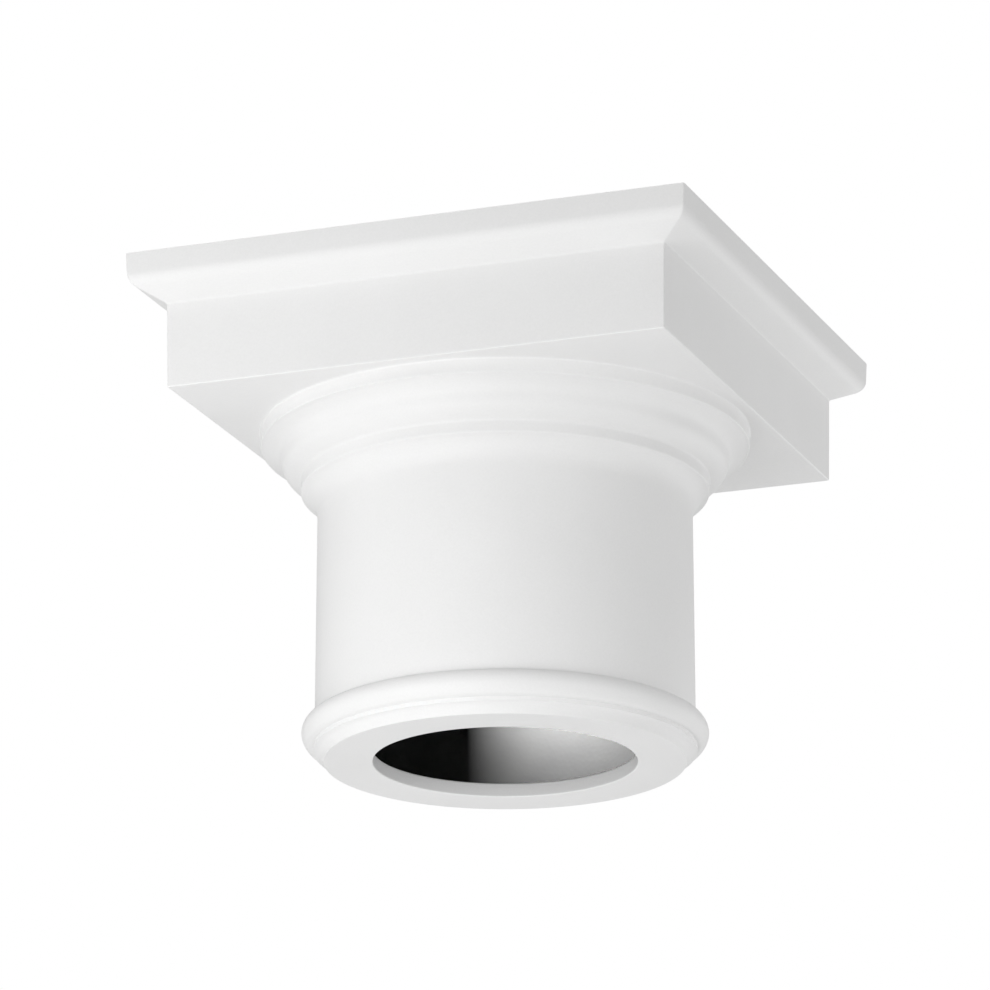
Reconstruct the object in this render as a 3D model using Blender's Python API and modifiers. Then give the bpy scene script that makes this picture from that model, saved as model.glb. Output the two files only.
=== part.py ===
"""Capital for a round column: a square moulded abacus on a turned echinus, neck and astragal.

It is cast in one piece and hollow from below. It stands on the flat ring of its foot, with the
origin at the centre of that ring and +Z up.
"""
from math import atan2, cos, hypot, radians, sin, sqrt

import bpy

# Neck, in metres; radii of the mouldings below and above are reckoned from it
NECK_RADIUS = 0.1000
NECK_HEIGHT = 0.1101
NECK_DRAFT = 0.0006

# Foot: a shallow cove that ends at the flat ring, a small fillet, then the astragal
FOOT_COVE_HEIGHT = 0.0056
FOOT_COVE_DEPTH = 0.0055
FOOT_COVE_SLOPE = 62.0
FOOT_COVE_RISE = 0.0040
FOOT_COVE_TOP_SLOPE = 8.0
FOOT_COVE_TOP_REACH = 0.0025
FOOT_FILLET_HEIGHT = 0.0023
FOOT_FILLET_PROJECTION = 0.0007
ASTRAGAL_PROJECTION = 0.0069
ASTRAGAL_UPPER_HEIGHT = 0.0073
ASTRAGAL_LOWER_HEIGHT = 0.0072
ASTRAGAL_LOWER_RISE = 0.0029
ASTRAGAL_LOWER_REACH = 0.0037

# Echinus: a cove out of the neck, the lower fillet, the ogee, the upper fillet
ECHINUS_COVE_HEIGHT = 0.0147
ECHINUS_COVE_PROJECTION = 0.0090
ECHINUS_COVE_SLOPE = 12.0
ECHINUS_COVE_RISE = 0.0085
ECHINUS_COVE_REACH = 0.0045
LOWER_FILLET_HEIGHT = 0.0067
OGEE_HEIGHT = 0.0184
OGEE_PROJECTION = 0.0200
OGEE_TOP_SLOPE = 20.0
OGEE_FOOT_SLOPE = 22.0
OGEE_TOP_REACH = 0.0180
OGEE_FOOT_REACH = 0.0190
UPPER_FILLET_LEDGE = 0.0015
UPPER_FILLET_HEIGHT = 0.0082

# Abacus: a plain square block under an ovolo and an upright fascia
BLOCK_MARGIN = 0.0071
BLOCK_HEIGHT = 0.0459
BLOCK_DRAFT = 0.0006
OVOLO_HEIGHT = 0.0142
OVOLO_PROJECTION = 0.0162
OVOLO_NOSE_HEIGHT = 0.0080
OVOLO_NOSE_RETURN = 0.0050
FASCIA_HEIGHT = 0.0106
FASCIA_DRAFT = 0.0004

# Hollow: a round cavity closed at the top, with a lip around its mouth
WALL_THICKNESS = 0.0180
LIP_WIDTH = 0.0120
LIP_HEIGHT = 0.0076
TOP_THICKNESS = 0.0250

# Facets
TURNED_STEPS = 96
CURVE_POINTS = 6
SQUARE_STEPS = 4
SMOOTH_ANGLE = 25.0
CUTTER_OVERRUN = 0.0100
MERGE_DISTANCE = 0.0001

PAINT_COLOUR = (0.84, 0.84, 0.83, 1.0)
PAINT_ROUGHNESS = 0.45

# Levels, from the foot up
ASTRAGAL_FOOT_Z = FOOT_COVE_HEIGHT + FOOT_FILLET_HEIGHT
ASTRAGAL_Z = ASTRAGAL_FOOT_Z + ASTRAGAL_LOWER_HEIGHT
NECK_FOOT_Z = ASTRAGAL_Z + ASTRAGAL_UPPER_HEIGHT
NECK_TOP_Z = NECK_FOOT_Z + NECK_HEIGHT
LOWER_FILLET_Z = NECK_TOP_Z + ECHINUS_COVE_HEIGHT
OGEE_Z = LOWER_FILLET_Z + LOWER_FILLET_HEIGHT
UPPER_FILLET_Z = OGEE_Z + OGEE_HEIGHT
SOFFIT_Z = UPPER_FILLET_Z + UPPER_FILLET_HEIGHT
OVOLO_Z = SOFFIT_Z + BLOCK_HEIGHT
FASCIA_Z = OVOLO_Z + OVOLO_HEIGHT
TOP_Z = FASCIA_Z + FASCIA_HEIGHT

# Radii, and half sides of the square members
FOOT_FILLET_RADIUS = NECK_RADIUS + FOOT_FILLET_PROJECTION
FOOT_RADIUS = FOOT_FILLET_RADIUS - FOOT_COVE_DEPTH
ASTRAGAL_RADIUS = NECK_RADIUS + ASTRAGAL_PROJECTION
NECK_TOP_RADIUS = NECK_RADIUS - NECK_DRAFT
LOWER_FILLET_RADIUS = NECK_TOP_RADIUS + ECHINUS_COVE_PROJECTION
UPPER_FILLET_RADIUS = LOWER_FILLET_RADIUS + OGEE_PROJECTION + UPPER_FILLET_LEDGE
BLOCK_FOOT_HALF = UPPER_FILLET_RADIUS + BLOCK_MARGIN
BLOCK_TOP_HALF = BLOCK_FOOT_HALF + BLOCK_DRAFT
FASCIA_FOOT_HALF = BLOCK_TOP_HALF + OVOLO_PROJECTION
FASCIA_TOP_HALF = FASCIA_FOOT_HALF + FASCIA_DRAFT
CAVITY_RADIUS = NECK_TOP_RADIUS - WALL_THICKNESS
MOUTH_RADIUS = CAVITY_RADIUS - LIP_WIDTH


def upright_arc(radius, height, reach, rise):
    """Arc that starts upright at (radius, height) and ends reach further out and rise further up."""
    bend = hypot(reach, rise) ** 2 / (2.0 * abs(reach))
    sweep = 2.0 * atan2(abs(reach), abs(rise))
    out = 1.0 if reach > 0.0 else -1.0
    up = 1.0 if rise > 0.0 else -1.0
    angles = [sweep * i / CURVE_POINTS for i in range(CURVE_POINTS + 1)]
    return [(radius + out * bend * (1.0 - cos(a)), height + up * bend * sin(a)) for a in angles]


def pulled(point, length, slope):
    """Place this length out from a point and slope degrees upwards; inwards if the length is negative."""
    return (point[0] + length * cos(radians(slope)), point[1] + length * sin(radians(slope)))


def bezier(corners, steps):
    points = []
    for i in range(steps + 1):
        t = i / steps
        weights = ((1 - t) ** 3, 3 * t * (1 - t) ** 2, 3 * t * t * (1 - t), t ** 3)
        points.append(tuple(sum(w * c[k] for w, c in zip(weights, corners)) for k in (0, 1)))
    return points


def ogee():
    """Double curve of the echinus, hollow under the upper fillet and round above the lower one."""
    top = (LOWER_FILLET_RADIUS + OGEE_PROJECTION, UPPER_FILLET_Z)
    foot = (LOWER_FILLET_RADIUS, OGEE_Z)
    top_pull = pulled(top, -OGEE_TOP_REACH, OGEE_TOP_SLOPE)
    foot_pull = pulled(foot, OGEE_FOOT_REACH, OGEE_FOOT_SLOPE)
    return bezier((top, top_pull, foot_pull, foot), 2 * CURVE_POINTS)


def echinus_cove():
    """Hollow curve out of the neck, nearly level where it meets the lower fillet."""
    top = (LOWER_FILLET_RADIUS, LOWER_FILLET_Z)
    foot = (NECK_TOP_RADIUS, NECK_TOP_Z)
    top_pull = pulled(top, -ECHINUS_COVE_REACH, ECHINUS_COVE_SLOPE)
    foot_pull = (foot[0], foot[1] + ECHINUS_COVE_RISE)
    return bezier((top, top_pull, foot_pull, foot), CURVE_POINTS)


def astragal_underside():
    """Round underside that ends level over the small fillet."""
    top = (ASTRAGAL_RADIUS, ASTRAGAL_Z)
    foot = (FOOT_FILLET_RADIUS, ASTRAGAL_FOOT_Z)
    top_pull = (top[0], top[1] - ASTRAGAL_LOWER_RISE)
    foot_pull = (foot[0] + ASTRAGAL_LOWER_REACH, foot[1])
    return bezier((top, top_pull, foot_pull, foot), CURVE_POINTS)


def foot_cove():
    """Shallow hollow curve, nearly level under the small fillet and steep at the flat ring."""
    top = (FOOT_FILLET_RADIUS, FOOT_COVE_HEIGHT)
    foot = (FOOT_RADIUS, 0.0)
    top_pull = pulled(top, -FOOT_COVE_TOP_REACH, FOOT_COVE_TOP_SLOPE)
    foot_pull = pulled(foot, FOOT_COVE_RISE, FOOT_COVE_SLOPE)
    return bezier((top, top_pull, foot_pull, foot), CURVE_POINTS)


def turned_profile():
    """Outline of the round members as (radius, height), from inside the block down to the foot."""
    top = SOFFIT_Z + 0.5 * BLOCK_HEIGHT
    astragal_upper = upright_arc(ASTRAGAL_RADIUS, ASTRAGAL_Z, -ASTRAGAL_PROJECTION, ASTRAGAL_UPPER_HEIGHT)
    return (
        [(0.0, top), (UPPER_FILLET_RADIUS, top), (UPPER_FILLET_RADIUS, UPPER_FILLET_Z)]
        + ogee()
        + echinus_cove()
        + astragal_upper[::-1]
        + astragal_underside()[1:]
        + foot_cove()
        + [(0.0, 0.0)]
    )


def abacus_profile():
    """Outline of the square members as (half side, height), from the top down to the soffit."""
    nose = upright_arc(FASCIA_FOOT_HALF, FASCIA_Z, -OVOLO_NOSE_RETURN, -OVOLO_NOSE_HEIGHT)
    return (
        [(0.0, TOP_Z), (FASCIA_TOP_HALF, TOP_Z)]
        + nose
        + [(BLOCK_TOP_HALF, OVOLO_Z), (BLOCK_FOOT_HALF, SOFFIT_Z), (0.0, SOFFIT_Z)]
    )


def cavity_profile():
    """Outline of the hollow as (radius, height), from its ceiling down through the mouth."""
    ceiling = TOP_Z - TOP_THICKNESS
    return [
        (0.0, ceiling),
        (CAVITY_RADIUS, ceiling),
        (CAVITY_RADIUS, LIP_HEIGHT),
        (MOUTH_RADIUS, LIP_HEIGHT),
        (MOUTH_RADIUS, -CUTTER_OVERRUN),
        (0.0, -CUTTER_OVERRUN),
    ]


def screwed(name, profile, steps, collection):
    """Object that turns a profile, given from its top to its foot, around the Z axis."""
    mesh = bpy.data.meshes.new(name)
    edges = [(i, i + 1) for i in range(len(profile) - 1)]
    mesh.from_pydata([(radius, 0.0, height) for radius, height in profile], edges, [])
    obj = bpy.data.objects.new(name, mesh)
    collection.objects.link(obj)
    screw = obj.modifiers.new("Screw", "SCREW")
    screw.steps = steps
    screw.render_steps = steps
    screw.use_merge_vertices = True
    screw.merge_threshold = MERGE_DISTANCE
    return obj


def boolean(obj, operation, operand):
    modifier = obj.modifiers.new(operation.title(), "BOOLEAN")
    modifier.operation = operation
    modifier.object = operand
    modifier.solver = "EXACT"


def as_operand(obj):
    obj.hide_render = True
    obj.display_type = "WIRE"
    return obj


def apply_modifiers(obj):
    """Replace an object's profile with its finished mesh."""
    evaluated = obj.evaluated_get(bpy.context.evaluated_depsgraph_get())
    mesh = bpy.data.meshes.new_from_object(evaluated)
    obj.modifiers.clear()
    obj.data = mesh
    mesh.name = obj.name


def white_paint():
    material = bpy.data.materials.new("white_paint")
    material.use_nodes = True
    shader = material.node_tree.nodes["Principled BSDF"]
    shader.inputs["Base Color"].default_value = PAINT_COLOUR
    shader.inputs["Roughness"].default_value = PAINT_ROUGHNESS
    shader.inputs["Metallic"].default_value = 0.0
    material.diffuse_color = PAINT_COLOUR
    return material


def new_collection(name):
    collection = bpy.data.collections.new(name)
    bpy.context.scene.collection.children.link(collection)
    return collection


def build():
    for obj in list(bpy.data.objects):
        bpy.data.objects.remove(obj, do_unlink=True)
    parts = new_collection("column_capital")
    operands = new_collection("operands")

    # A square is a turning of four steps, so its profile runs along the diagonal
    mitred = [(half * sqrt(2.0), height) for half, height in abacus_profile()]
    abacus = as_operand(screwed("abacus", mitred, SQUARE_STEPS, operands))
    abacus.rotation_euler.z = radians(45.0)
    cavity = as_operand(screwed("cavity", cavity_profile(), TURNED_STEPS, operands))

    capital = screwed("capital", turned_profile(), TURNED_STEPS, parts)
    boolean(capital, "UNION", abacus)
    boolean(capital, "DIFFERENCE", cavity)
    apply_modifiers(capital)
    capital.data.shade_smooth()
    capital.data.set_sharp_from_angle(angle=radians(SMOOTH_ANGLE))
    capital.data.materials.clear()
    capital.data.materials.append(white_paint())


build()
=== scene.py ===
"""Looks of the column capital: a fine mesh with softened arrises, sprayed white paint, a soft studio."""
from math import atan2, cos, hypot, pi, radians, sin

import bmesh
import bpy
from mathutils import Matrix, Vector


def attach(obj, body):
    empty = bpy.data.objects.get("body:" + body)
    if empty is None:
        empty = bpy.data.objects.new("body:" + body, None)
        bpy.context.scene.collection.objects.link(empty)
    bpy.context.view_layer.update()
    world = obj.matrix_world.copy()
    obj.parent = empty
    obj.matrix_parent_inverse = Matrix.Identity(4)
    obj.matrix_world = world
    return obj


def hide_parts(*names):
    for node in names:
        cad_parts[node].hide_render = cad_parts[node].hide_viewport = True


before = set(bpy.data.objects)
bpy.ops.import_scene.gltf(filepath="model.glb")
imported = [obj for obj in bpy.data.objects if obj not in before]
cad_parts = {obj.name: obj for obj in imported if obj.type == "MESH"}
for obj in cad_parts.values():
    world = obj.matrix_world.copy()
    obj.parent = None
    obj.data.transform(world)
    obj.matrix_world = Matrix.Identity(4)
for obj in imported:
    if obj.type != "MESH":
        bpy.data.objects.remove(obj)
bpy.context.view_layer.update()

# Neck, in metres, as in the solid; radii of the other turned members are reckoned from it
NECK_RADIUS = 0.1000
NECK_HEIGHT = 0.1101
NECK_DRAFT = 0.0006

# Foot
FOOT_COVE_HEIGHT = 0.0056
FOOT_COVE_DEPTH = 0.0055
FOOT_COVE_SLOPE = 62.0
FOOT_COVE_RISE = 0.0040
FOOT_COVE_TOP_SLOPE = 8.0
FOOT_COVE_TOP_REACH = 0.0025
FOOT_FILLET_HEIGHT = 0.0023
FOOT_FILLET_PROJECTION = 0.0007
ASTRAGAL_PROJECTION = 0.0069
ASTRAGAL_UPPER_HEIGHT = 0.0073
ASTRAGAL_LOWER_HEIGHT = 0.0072
ASTRAGAL_LOWER_RISE = 0.0029
ASTRAGAL_LOWER_REACH = 0.0037

# Echinus
ECHINUS_COVE_HEIGHT = 0.0147
ECHINUS_COVE_PROJECTION = 0.0090
ECHINUS_COVE_SLOPE = 12.0
ECHINUS_COVE_RISE = 0.0085
ECHINUS_COVE_REACH = 0.0045
LOWER_FILLET_HEIGHT = 0.0067
OGEE_HEIGHT = 0.0184
OGEE_PROJECTION = 0.0200
OGEE_TOP_SLOPE = 20.0
OGEE_FOOT_SLOPE = 22.0
OGEE_TOP_REACH = 0.0180
OGEE_FOOT_REACH = 0.0190
UPPER_FILLET_LEDGE = 0.0015
UPPER_FILLET_HEIGHT = 0.0082

# Abacus
BLOCK_MARGIN = 0.0071
BLOCK_HEIGHT = 0.0459
BLOCK_DRAFT = 0.0006
OVOLO_HEIGHT = 0.0142
OVOLO_PROJECTION = 0.0162
OVOLO_NOSE_HEIGHT = 0.0080
OVOLO_NOSE_RETURN = 0.0050
FASCIA_HEIGHT = 0.0106
FASCIA_DRAFT = 0.0004

# Hollow
WALL_THICKNESS = 0.0180
LIP_WIDTH = 0.0120
LIP_HEIGHT = 0.0076
TOP_THICKNESS = 0.0250

# Softening of the arrises and inner corners, as the length cut back on each side
ARRIS = 0.0009
FINE_ARRIS = 0.0004
INNER_CORNER = 0.0012
ARRIS_POINTS = 4
CORNER_POINTS = 6
SIDE_POINTS = 24
# Points of a curve nearer to a softened corner than this many of its cuts are left out
CUT_CLEARANCE = 1.05

# Fineness of the mesh
TURNED_STEPS = 360
CURVE_POINTS = 12
STRAIGHT_STEP = 0.0100
STEP_TOLERANCE = 0.001
MERGE_DISTANCE = 1e-6

# Camera, as seen in the photograph: it looks up at the capital from in front of one corner
CAMERA_AZIMUTH = 20.452
CAMERA_ELEVATION = -17.502
CAMERA_DISTANCE = 3.6190
CAMERA_LENS = 248.71
CAMERA_NEAR = 0.1
CAMERA_FAR = 60.0
SENSOR_WIDTH = 36.0
AIM_HEIGHT = 0.1200
AIM_RIGHT = -0.00538
AIM_DOWN = -0.02579

# Paint: dark and pale end of its colour, then its noises and what each of them does
# Every noise is given as scale, detail and roughness
PAINT_DARK = (0.800, 0.800, 0.797, 1.0)
PAINT_PALE = (0.860, 0.860, 0.858, 1.0)
PAINT_TONES = (0.35, 0.95)
PAINT_ROUGHNESS = (0.48, 0.58)
PAINT_IOR = 1.45
DRIFT_NOISE = (18.0, 3.0, 0.5)
DRIFT_SHARE = 0.4
DRIFT_RANGE = (0.3, 0.7)
GRAIN_NOISE = (900.0, 3.0, 0.6)
GRAIN_SHARE = 0.6
GRAIN_BASE = 0.2
GRAIN_STRENGTH = 0.12
GRAIN_DEPTH = 0.0002
PEEL_NOISE = (260.0, 2.0, 0.5)
PEEL_STRENGTH = 0.10
PEEL_DEPTH = 0.0004

# Inside of the hollow: near-black colour that paints the shade of the dark hollow, with a faint random
# mottle and pits
HOLLOW_SHADE_DARK = (0.033, 0.033, 0.033, 1.0)
HOLLOW_SHADE_PALE = (0.041, 0.041, 0.040, 1.0)
HOLLOW_SHADE_TONES = (0.3, 0.7)
HOLLOW_ROUGHNESS = 0.85
CLOUD_NOISE = (30.0, 4.0, 0.6)
PIT_SCALE = 420.0
PIT_STRENGTH = 0.10
PIT_DEPTH = 0.0006

# Studio
FLOOR_DARK = (0.72, 0.72, 0.72, 1.0)
FLOOR_PALE = (0.75, 0.75, 0.75, 1.0)
FLOOR_ROUGHNESS = 0.9
FLOOR_NOISE = (3.0, 2.0, 0.5)
STAGE_STEPS = 96
WORLD_LIGHT = 0.467
FLOOR_RADIUS = 12.0
# Each lamp: name, degrees right of the camera, degrees up, distance and side in metres, watts
LIGHTS = (
    ("key", -30.0, -15.0, 1.1, 0.5, 2.01),
    ("key_low", -25.0, -38.0, 0.7, 0.4, 0.87),
    ("left", -50.0, -15.0, 0.7, 0.4, 0.80),
    ("left_high", -75.0, 8.0, 0.7, 0.4, 0.29),
    ("left_back", -120.0, -60.0, 1.1, 0.5, 1.30),
    ("right", 60.0, -15.0, 1.1, 0.5, 2.12),
    ("right_back", 120.0, -15.0, 0.7, 0.4, 0.78),
    ("below", 180.0, -75.0, 0.45, 0.3, 0.22),
    ("top", 0.0, 90.0, 8.0, 2.4, 350.0),
)
# Lamp inside the hollow: metres right of and behind the axis and above the foot, then its turn
HOLLOW_LIGHT_RIGHT = 0.0050
HOLLOW_LIGHT_BACK = 0.0350
HOLLOW_LIGHT_HEIGHT = 0.0600
HOLLOW_LIGHT_TURN = -60.0
HOLLOW_LIGHT_SIDE = 0.0080
HOLLOW_LIGHT_POWER = 0.43
FLAG_GAP = 0.0004

# Levels, from the foot up
ASTRAGAL_FOOT_Z = FOOT_COVE_HEIGHT + FOOT_FILLET_HEIGHT
ASTRAGAL_Z = ASTRAGAL_FOOT_Z + ASTRAGAL_LOWER_HEIGHT
NECK_FOOT_Z = ASTRAGAL_Z + ASTRAGAL_UPPER_HEIGHT
NECK_TOP_Z = NECK_FOOT_Z + NECK_HEIGHT
LOWER_FILLET_Z = NECK_TOP_Z + ECHINUS_COVE_HEIGHT
OGEE_Z = LOWER_FILLET_Z + LOWER_FILLET_HEIGHT
UPPER_FILLET_Z = OGEE_Z + OGEE_HEIGHT
SOFFIT_Z = UPPER_FILLET_Z + UPPER_FILLET_HEIGHT
OVOLO_Z = SOFFIT_Z + BLOCK_HEIGHT
FASCIA_Z = OVOLO_Z + OVOLO_HEIGHT
TOP_Z = FASCIA_Z + FASCIA_HEIGHT

# Radii, and half sides of the square members
FOOT_FILLET_RADIUS = NECK_RADIUS + FOOT_FILLET_PROJECTION
FOOT_RADIUS = FOOT_FILLET_RADIUS - FOOT_COVE_DEPTH
ASTRAGAL_RADIUS = NECK_RADIUS + ASTRAGAL_PROJECTION
NECK_TOP_RADIUS = NECK_RADIUS - NECK_DRAFT
LOWER_FILLET_RADIUS = NECK_TOP_RADIUS + ECHINUS_COVE_PROJECTION
UPPER_FILLET_RADIUS = LOWER_FILLET_RADIUS + OGEE_PROJECTION + UPPER_FILLET_LEDGE
BLOCK_FOOT_HALF = UPPER_FILLET_RADIUS + BLOCK_MARGIN
BLOCK_TOP_HALF = BLOCK_FOOT_HALF + BLOCK_DRAFT
FASCIA_FOOT_HALF = BLOCK_TOP_HALF + OVOLO_PROJECTION
FASCIA_TOP_HALF = FASCIA_FOOT_HALF + FASCIA_DRAFT
CAVITY_RADIUS = NECK_TOP_RADIUS - WALL_THICKNESS
MOUTH_RADIUS = CAVITY_RADIUS - LIP_WIDTH
FLAG_RADIUS = MOUTH_RADIUS + 2.0 * ARRIS
# The white paint ends and the near-black painted shade of the hollow begins half way across the top of
# the lip
PAINT_END_RADIUS = 0.5 * (MOUTH_RADIUS + CAVITY_RADIUS)
CEILING_DISC_RADIUS = 0.25 * CAVITY_RADIUS
CEILING_Z = TOP_Z - TOP_THICKNESS


def upright_arc(radius, height, reach, rise):
    """Arc that starts upright at (radius, height) and ends reach further out, rise further up."""
    bend = hypot(reach, rise) ** 2 / (2.0 * abs(reach))
    sweep = 2.0 * atan2(abs(reach), abs(rise))
    out = 1.0 if reach > 0.0 else -1.0
    up = 1.0 if rise > 0.0 else -1.0
    angles = [sweep * i / CURVE_POINTS for i in range(CURVE_POINTS + 1)]
    return [(radius + out * bend * (1.0 - cos(a)), height + up * bend * sin(a)) for a in angles]


def pulled(point, length, slope):
    """Place this length out from a point and slope degrees up; inwards if the length is negative."""
    return (point[0] + length * cos(radians(slope)), point[1] + length * sin(radians(slope)))


def bezier(corners, steps):
    points = []
    for i in range(steps + 1):
        t = i / steps
        weights = ((1 - t) ** 3, 3 * t * (1 - t) ** 2, 3 * t * t * (1 - t), t ** 3)
        points.append(tuple(sum(w * c[k] for w, c in zip(weights, corners)) for k in (0, 1)))
    return points


def ogee():
    """Double curve of the echinus, hollow under the upper fillet and round above the lower one."""
    top = (LOWER_FILLET_RADIUS + OGEE_PROJECTION, UPPER_FILLET_Z)
    foot = (LOWER_FILLET_RADIUS, OGEE_Z)
    top_pull = pulled(top, -OGEE_TOP_REACH, OGEE_TOP_SLOPE)
    foot_pull = pulled(foot, OGEE_FOOT_REACH, OGEE_FOOT_SLOPE)
    return bezier((top, top_pull, foot_pull, foot), 2 * CURVE_POINTS)


def echinus_cove():
    """Hollow curve out of the neck, nearly level where it meets the lower fillet."""
    top = (LOWER_FILLET_RADIUS, LOWER_FILLET_Z)
    foot = (NECK_TOP_RADIUS, NECK_TOP_Z)
    top_pull = pulled(top, -ECHINUS_COVE_REACH, ECHINUS_COVE_SLOPE)
    foot_pull = (foot[0], foot[1] + ECHINUS_COVE_RISE)
    return bezier((top, top_pull, foot_pull, foot), CURVE_POINTS)


def astragal_underside():
    """Round underside that ends level over the small fillet."""
    top = (ASTRAGAL_RADIUS, ASTRAGAL_Z)
    foot = (FOOT_FILLET_RADIUS, ASTRAGAL_FOOT_Z)
    top_pull = (top[0], top[1] - ASTRAGAL_LOWER_RISE)
    foot_pull = (foot[0] + ASTRAGAL_LOWER_REACH, foot[1])
    return bezier((top, top_pull, foot_pull, foot), CURVE_POINTS)


def foot_cove():
    """Shallow hollow curve, nearly level under the small fillet and steep at the flat ring."""
    top = (FOOT_FILLET_RADIUS, FOOT_COVE_HEIGHT)
    foot = (FOOT_RADIUS, 0.0)
    top_pull = pulled(top, -FOOT_COVE_TOP_REACH, FOOT_COVE_TOP_SLOPE)
    foot_pull = pulled(foot, FOOT_COVE_RISE, FOOT_COVE_SLOPE)
    return bezier((top, top_pull, foot_pull, foot), CURVE_POINTS)


def plain(points):
    return [(radius, height, 0.0) for radius, height in points]


def soften(profile):
    """Curve instead of each corner of (across, height, cut) points, from cut before it to cut after."""
    places = [Vector(point[:2]) for point in profile]
    lengths = [0.0]
    for before, after in zip(places, places[1:]):
        lengths.append(lengths[-1] + (after - before).length)

    def at(length):
        for i in range(1, len(lengths)):
            if length <= lengths[i]:
                span = lengths[i] - lengths[i - 1]
                share = (length - lengths[i - 1]) / span if span else 0.0
                return places[i - 1].lerp(places[i], share)
        return places[-1]

    cuts = [(lengths[i], profile[i][2]) for i in range(len(profile)) if profile[i][2] > 0.0]
    points = []
    for i, place in enumerate(places):
        cut = profile[i][2]
        if cut > 0.0:
            first, last = at(lengths[i] - cut), at(lengths[i] + cut)
            for k in range(ARRIS_POINTS + 1):
                t = k / ARRIS_POINTS
                points.append((1 - t) ** 2 * first + 2 * t * (1 - t) * place + t * t * last)
        elif not any(abs(lengths[i] - length) < reach * CUT_CLEARANCE for length, reach in cuts):
            points.append(place)
    return points


def subdivide(points, step):
    """Split long straight stretches, so that no facet is longer than step."""
    result = [points[0]]
    for before, after in zip(points, points[1:]):
        count = max(1, int((after - before).length / step + 1.0 - STEP_TOLERANCE))
        result += [before.lerp(after, (k + 1) / count) for k in range(count)]
    return result


def outer_profile():
    """Turned face, from the soffit down to the foot and in to the mouth's arris."""
    astragal_upper = upright_arc(
        ASTRAGAL_RADIUS, ASTRAGAL_Z, -ASTRAGAL_PROJECTION, ASTRAGAL_UPPER_HEIGHT
    )
    return (
        [(UPPER_FILLET_RADIUS + 2.0 * INNER_CORNER, SOFFIT_Z, 0.0)]
        + [(UPPER_FILLET_RADIUS, SOFFIT_Z, INNER_CORNER)]
        + [(UPPER_FILLET_RADIUS, UPPER_FILLET_Z, ARRIS)]
        + plain(ogee()[:-1])
        + [(LOWER_FILLET_RADIUS, OGEE_Z, INNER_CORNER)]
        + [(LOWER_FILLET_RADIUS, LOWER_FILLET_Z, ARRIS)]
        + plain(echinus_cove()[1:])
        + [(*astragal_upper[-1], FINE_ARRIS)]
        + plain(astragal_upper[-2::-1])
        + plain(astragal_underside()[1:-1])
        + [(FOOT_FILLET_RADIUS, ASTRAGAL_FOOT_Z, FINE_ARRIS)]
        + [(FOOT_FILLET_RADIUS, FOOT_COVE_HEIGHT, FINE_ARRIS)]
        + plain(foot_cove()[1:-1])
        + [(FOOT_RADIUS, 0.0, FINE_ARRIS)]
        + [(MOUTH_RADIUS, 0.0, ARRIS)]
        + [(MOUTH_RADIUS, LIP_HEIGHT, ARRIS)]
        + [(PAINT_END_RADIUS, LIP_HEIGHT, 0.0)]
    )


def cavity_profile():
    """Face of the hollow, from the top of the lip up the wall to the middle of the ceiling."""
    return [
        (PAINT_END_RADIUS, LIP_HEIGHT, 0.0),
        (CAVITY_RADIUS, LIP_HEIGHT, ARRIS),
        (CAVITY_RADIUS, CEILING_Z, ARRIS),
        (CEILING_DISC_RADIUS, CEILING_Z, 0.0),
    ]


def abacus_profile():
    """Square faces, from the top down to the soffit, as (half side, height, cut)."""
    nose = upright_arc(FASCIA_FOOT_HALF, FASCIA_Z, -OVOLO_NOSE_RETURN, -OVOLO_NOSE_HEIGHT)
    return (
        [(FASCIA_TOP_HALF - 2.0 * ARRIS, TOP_Z, 0.0)]
        + [(FASCIA_TOP_HALF, TOP_Z, ARRIS)]
        + plain(nose)
        + [(BLOCK_TOP_HALF, OVOLO_Z, ARRIS)]
        + [(BLOCK_FOOT_HALF, SOFFIT_Z, ARRIS)]
        + [(BLOCK_FOOT_HALF - 2.0 * ARRIS, SOFFIT_Z, 0.0)]
    )


def circle_ring(radius, height):
    angles = [2.0 * pi * i / TURNED_STEPS for i in range(TURNED_STEPS)]
    return [(radius * cos(a), radius * sin(a), height) for a in angles]


def square_ring(half, height):
    """Square with its corners rounded by the arris, run counter-clockwise from the +X side."""
    inner = half - ARRIS
    points = []
    for quarter in range(4):
        turn = Matrix.Rotation(0.5 * pi * quarter, 2)
        side = [Vector((half, inner * (2.0 * k / SIDE_POINTS - 1.0))) for k in range(SIDE_POINTS)]
        corner = [
            Vector((inner + ARRIS * cos(a), inner + ARRIS * sin(a)))
            for a in [0.5 * pi * k / CORNER_POINTS for k in range(CORNER_POINTS)]
        ]
        points += [(*(turn @ point), height) for point in side + corner]
    return points


def skin(mesh, rings, slot):
    """Faces between counter-clockwise rings of points, given from the top down on an outer face."""
    loops = [[mesh.verts.new(point) for point in ring] for ring in rings]
    count = len(loops[0])
    for upper, lower in zip(loops, loops[1:]):
        for i in range(count):
            j = (i + 1) % count
            face = mesh.faces.new((upper[i], lower[i], lower[j], upper[j]))
            face.material_index = slot
    return loops


def flat_between(mesh, outer, inner):
    """Flat facets between two closed loops of corners in one level plane, facing down."""
    edges = []
    for loop in (outer, inner):
        for i, vert in enumerate(loop):
            edges.append(mesh.edges.get((vert, loop[(i + 1) % len(loop)])))
    made = bmesh.ops.triangle_fill(
        mesh, use_beauty=True, use_dissolve=False, edges=edges, normal=(0.0, 0.0, -1.0)
    )
    for face in made["geom"]:
        if isinstance(face, bmesh.types.BMFace):
            face.normal_update()
            if face.normal.z > 0.0:
                face.normal_flip()


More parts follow.
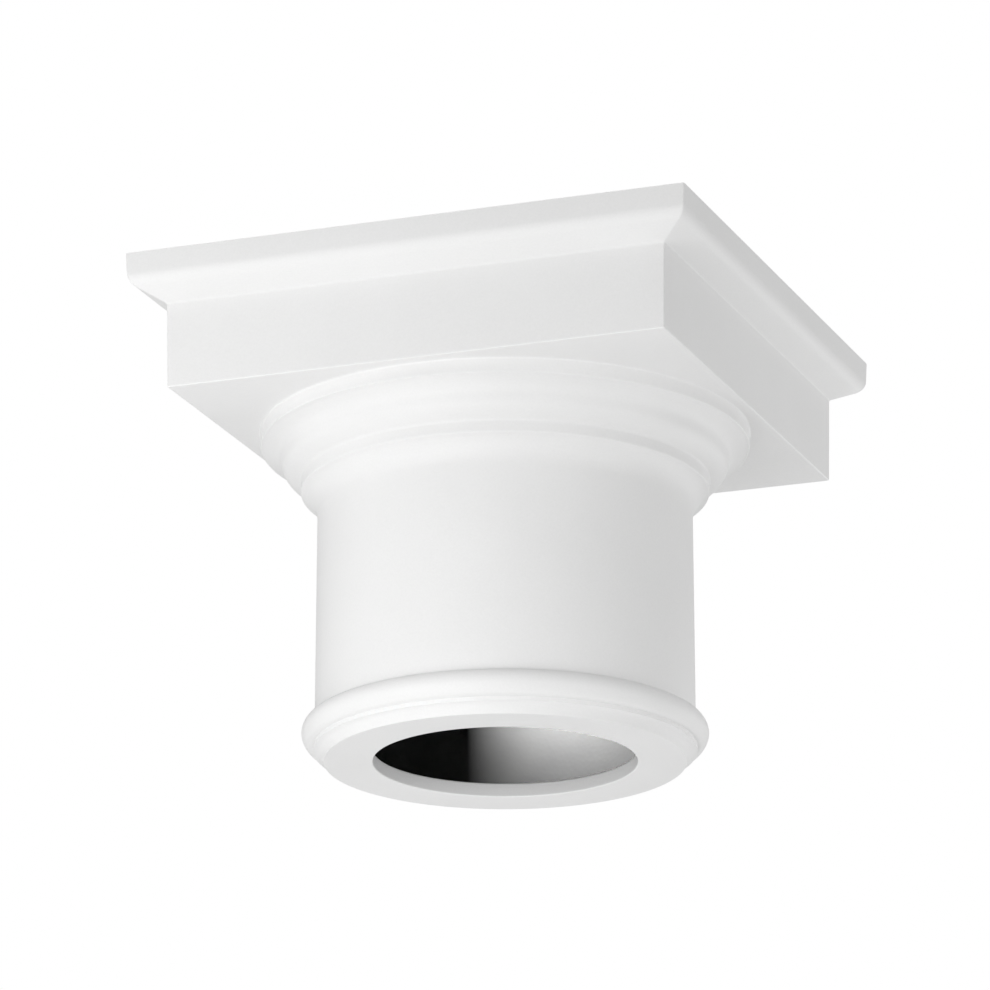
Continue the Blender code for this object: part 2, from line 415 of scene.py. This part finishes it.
def capital_mesh():
    mesh = bmesh.new()
    square = [square_ring(*point) for point in subdivide(soften(abacus_profile()), STRAIGHT_STEP)]
    turned = [circle_ring(*point) for point in subdivide(soften(outer_profile()), STRAIGHT_STEP)]
    hollow = [circle_ring(*point) for point in subdivide(soften(cavity_profile()), STRAIGHT_STEP)]
    square_loops = skin(mesh, square, 0)
    turned_loops = skin(mesh, turned, 0)
    hollow_loops = skin(mesh, hollow, 1)
    mesh.faces.new(square_loops[0])
    ceiling = mesh.faces.new(hollow_loops[-1][::-1])
    ceiling.material_index = 1
    flat_between(mesh, square_loops[-1], turned_loops[0])
    bmesh.ops.remove_doubles(mesh, verts=mesh.verts, dist=MERGE_DISTANCE)
    for face in mesh.faces:
        face.smooth = True
    data = bpy.data.meshes.new("capital_finished")
    mesh.to_mesh(data)
    mesh.free()
    return data


def link(obj):
    bpy.context.scene.collection.objects.link(obj)
    return obj


class Nodes:
    """Short way to write a material's nodes and links."""

    def __init__(self, name):
        self.material = bpy.data.materials.new(name)
        self.material.use_nodes = True
        self.tree = self.material.node_tree
        self.tree.nodes.clear()

    def add(self, kind, inputs=None, **settings):
        node = self.tree.nodes.new(kind)
        for name, value in settings.items():
            setattr(node, name, value)
        for name, value in (inputs or {}).items():
            if isinstance(value, bpy.types.NodeSocket):
                self.tree.links.new(value, node.inputs[name])
            else:
                node.inputs[name].default_value = value
        return node

    def noise(self, place, settings):
        scale, detail, roughness = settings
        inputs = {"Vector": place, "Scale": scale, "Detail": detail, "Roughness": roughness}
        return self.add("ShaderNodeTexNoise", inputs).outputs["Fac"]

    def times_plus(self, value, factor, term):
        inputs = {0: value, 1: factor, 2: term}
        return self.add("ShaderNodeMath", inputs, operation="MULTIPLY_ADD").outputs[0]

    def bump(self, height, strength, distance, more=None):
        inputs = {"Height": height, "Strength": strength, "Distance": distance, **(more or {})}
        return self.add("ShaderNodeBump", inputs).outputs["Normal"]

    def finish(self, inputs):
        """Put a principled shader with these inputs on the surface and give the material."""
        shader = self.add("ShaderNodeBsdfPrincipled", inputs)
        self.add("ShaderNodeOutputMaterial", {"Surface": shader.outputs["BSDF"]})
        return self.material


def set_ramp(ramp, positions, colours):
    for element, position, colour in zip(ramp.color_ramp.elements, positions, colours):
        element.position = position
        element.color = colour


def white_paint():
    """Sprayed matt primer: a faint orange peel, finer grain on it, and a slight drift of tone."""
    n = Nodes("sprayed_white_paint")
    place = n.add("ShaderNodeTexCoord").outputs["Object"]
    drift = n.noise(place, DRIFT_NOISE)
    grain = n.noise(place, GRAIN_NOISE)
    peel = n.noise(place, PEEL_NOISE)
    fine = n.times_plus(grain, GRAIN_SHARE, GRAIN_BASE)
    tone = n.times_plus(drift, DRIFT_SHARE, fine)
    colour = n.add("ShaderNodeValToRGB", {"Fac": tone})
    set_ramp(colour, PAINT_TONES, (PAINT_DARK, PAINT_PALE))
    rough = n.add(
        "ShaderNodeMapRange",
        {
            "Value": drift,
            "From Min": DRIFT_RANGE[0],
            "From Max": DRIFT_RANGE[1],
            "To Min": PAINT_ROUGHNESS[0],
            "To Max": PAINT_ROUGHNESS[1],
        },
    )
    waves = n.bump(peel, PEEL_STRENGTH, PEEL_DEPTH)
    relief = n.bump(grain, GRAIN_STRENGTH, GRAIN_DEPTH, {"Normal": waves})
    return n.finish(
        {
            "Base Color": colour.outputs["Color"],
            "Roughness": rough.outputs["Result"],
            "IOR": PAINT_IOR,
            "Normal": relief,
        }
    )


def hollow_painted_shade():
    """Inside of the hollow: near-black colour as painted shade, dull and faintly pitted."""
    n = Nodes("hollow_painted_shade")
    place = n.add("ShaderNodeTexCoord").outputs["Object"]
    cloud = n.noise(place, CLOUD_NOISE)
    pits = n.add("ShaderNodeTexVoronoi", {"Vector": place, "Scale": PIT_SCALE})
    colour = n.add("ShaderNodeValToRGB", {"Fac": cloud})
    set_ramp(colour, HOLLOW_SHADE_TONES, (HOLLOW_SHADE_DARK, HOLLOW_SHADE_PALE))
    relief = n.bump(pits.outputs["Distance"], PIT_STRENGTH, PIT_DEPTH)
    return n.finish(
        {"Base Color": colour.outputs["Color"], "Roughness": HOLLOW_ROUGHNESS, "Normal": relief}
    )


def make_capital():
    piece = link(bpy.data.objects.new("capital_finished", capital_mesh()))
    piece.data.materials.append(white_paint())
    # second slot: the hollow's faces get the near-black painted shade
    piece.data.materials.append(hollow_painted_shade())
    weighted = piece.modifiers.new("Weighted_normals", "WEIGHTED_NORMAL")
    weighted.mode = "FACE_AREA"
    weighted.keep_sharp = False
    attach(piece, "root")
    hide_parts("capital")


def floor_paint():
    """Pale from above and clear from below, because the photograph's camera looks up through it."""
    n = Nodes("pale_floor")
    below = n.add("ShaderNodeNewGeometry").outputs["Backfacing"]
    place = n.add("ShaderNodeTexCoord").outputs["Object"]
    cloud = n.noise(place, FLOOR_NOISE)
    colour = n.add("ShaderNodeValToRGB", {"Fac": cloud})
    set_ramp(colour, (0.0, 1.0), (FLOOR_DARK, FLOOR_PALE))
    look = {"Base Color": colour.outputs["Color"], "Roughness": FLOOR_ROUGHNESS}
    pale = n.add("ShaderNodeBsdfPrincipled", look).outputs["BSDF"]
    clear = n.add("ShaderNodeBsdfTransparent").outputs["BSDF"]
    mixed = n.add("ShaderNodeMixShader", {0: below, 1: pale, 2: clear})
    n.add("ShaderNodeOutputMaterial", {"Surface": mixed.outputs["Shader"]})
    return n.material


def add_disc(name, radius, material):
    data = bpy.data.meshes.new(name)
    mesh = bmesh.new()
    bmesh.ops.create_circle(mesh, cap_ends=True, segments=STAGE_STEPS, radius=radius)
    mesh.to_mesh(data)
    mesh.free()
    data.materials.append(material)
    return link(bpy.data.objects.new(name, data))


def make_floor():
    floor = add_disc("floor", FLOOR_RADIUS, floor_paint())
    floor.visible_diffuse = False
    floor.visible_glossy = False
    floor.visible_shadow = False


def toward(azimuth, elevation):
    """Unit vector from the capital to a viewer at this azimuth; 0 looks along +Y and 90 along -X."""
    a, e = radians(azimuth), radians(elevation)
    return Vector((sin(a) * cos(e), -cos(a) * cos(e), sin(e)))


def make_camera():
    camera = link(bpy.data.objects.new("camera", bpy.data.cameras.new("camera")))
    camera.data.sensor_width = SENSOR_WIDTH
    camera.data.lens = CAMERA_LENS
    camera.data.clip_start = CAMERA_NEAR
    camera.data.clip_end = CAMERA_FAR
    back = toward(CAMERA_AZIMUTH, CAMERA_ELEVATION)
    camera.rotation_mode = "QUATERNION"
    camera.rotation_quaternion = (-back).to_track_quat("-Z", "Y")
    right = camera.rotation_quaternion @ Vector((1.0, 0.0, 0.0))
    up = camera.rotation_quaternion @ Vector((0.0, 1.0, 0.0))
    aim = Vector((0.0, 0.0, AIM_HEIGHT)) + AIM_RIGHT * right - AIM_DOWN * up
    camera.location = aim + CAMERA_DISTANCE * back
    bpy.context.scene.camera = camera


def add_lamp(name, place, back, side, power):
    """Square lamp at a place, shining away from the direction back."""
    light = bpy.data.lights.new(name, "AREA")
    light.shape = "SQUARE"
    light.size = side
    light.energy = power
    obj = link(bpy.data.objects.new(name, light))
    obj.location = place
    obj.rotation_mode = "QUATERNION"
    obj.rotation_quaternion = back.to_track_quat("Z", "Y")
    obj.visible_camera = False


def make_light(name, right_of_camera, elevation, distance, side, power):
    back = toward(CAMERA_AZIMUTH + right_of_camera, elevation)
    add_lamp(name, Vector((0.0, 0.0, AIM_HEIGHT)) + distance * back, back, side, power)


def make_hollow_light():
    """Small lamp up in the hollow, out of sight, for the lit wall on the right beyond the mouth."""
    right = toward(CAMERA_AZIMUTH + 90.0, 0.0)
    away = -toward(CAMERA_AZIMUTH, 0.0)
    place = HOLLOW_LIGHT_RIGHT * right + HOLLOW_LIGHT_BACK * away
    place.z = HOLLOW_LIGHT_HEIGHT
    back = toward(CAMERA_AZIMUTH + HOLLOW_LIGHT_TURN, 0.0)
    add_lamp("hollow", place, back, HOLLOW_LIGHT_SIDE, HOLLOW_LIGHT_POWER)


def make_flag():
    """Black studio flag across the mouth, unseen, that keeps the hollow's lamp off the lip."""
    n = Nodes("black_flag")
    shader = n.add("ShaderNodeBsdfDiffuse", {"Color": (0.0, 0.0, 0.0, 1.0)})
    n.add("ShaderNodeOutputMaterial", {"Surface": shader.outputs["BSDF"]})
    flag = add_disc("flag", FLAG_RADIUS, n.material)
    flag.location.z = LIP_HEIGHT + FLAG_GAP
    flag.visible_camera = False


def make_world():
    """White all round for the camera, and a weaker even light on the capital."""
    world = bpy.data.worlds.new("studio")
    bpy.context.scene.world = world
    world.use_nodes = True
    tree = world.node_tree
    tree.nodes.clear()
    seen = tree.nodes.new("ShaderNodeLightPath")
    strength = tree.nodes.new("ShaderNodeMapRange")
    strength.inputs["To Min"].default_value = WORLD_LIGHT
    strength.inputs["To Max"].default_value = 1.0
    light = tree.nodes.new("ShaderNodeBackground")
    output = tree.nodes.new("ShaderNodeOutputWorld")
    tree.links.new(seen.outputs["Is Camera Ray"], strength.inputs["Value"])
    tree.links.new(strength.outputs["Result"], light.inputs["Strength"])
    tree.links.new(light.outputs["Background"], output.inputs["Surface"])
    light.inputs["Color"].default_value = (1.0, 1.0, 1.0, 1.0)


bpy.context.scene.view_settings.view_transform = "Standard"
make_capital()
make_floor()
make_camera()
make_world()
for light in LIGHTS:
    make_light(*light)
make_hollow_light()
make_flag()
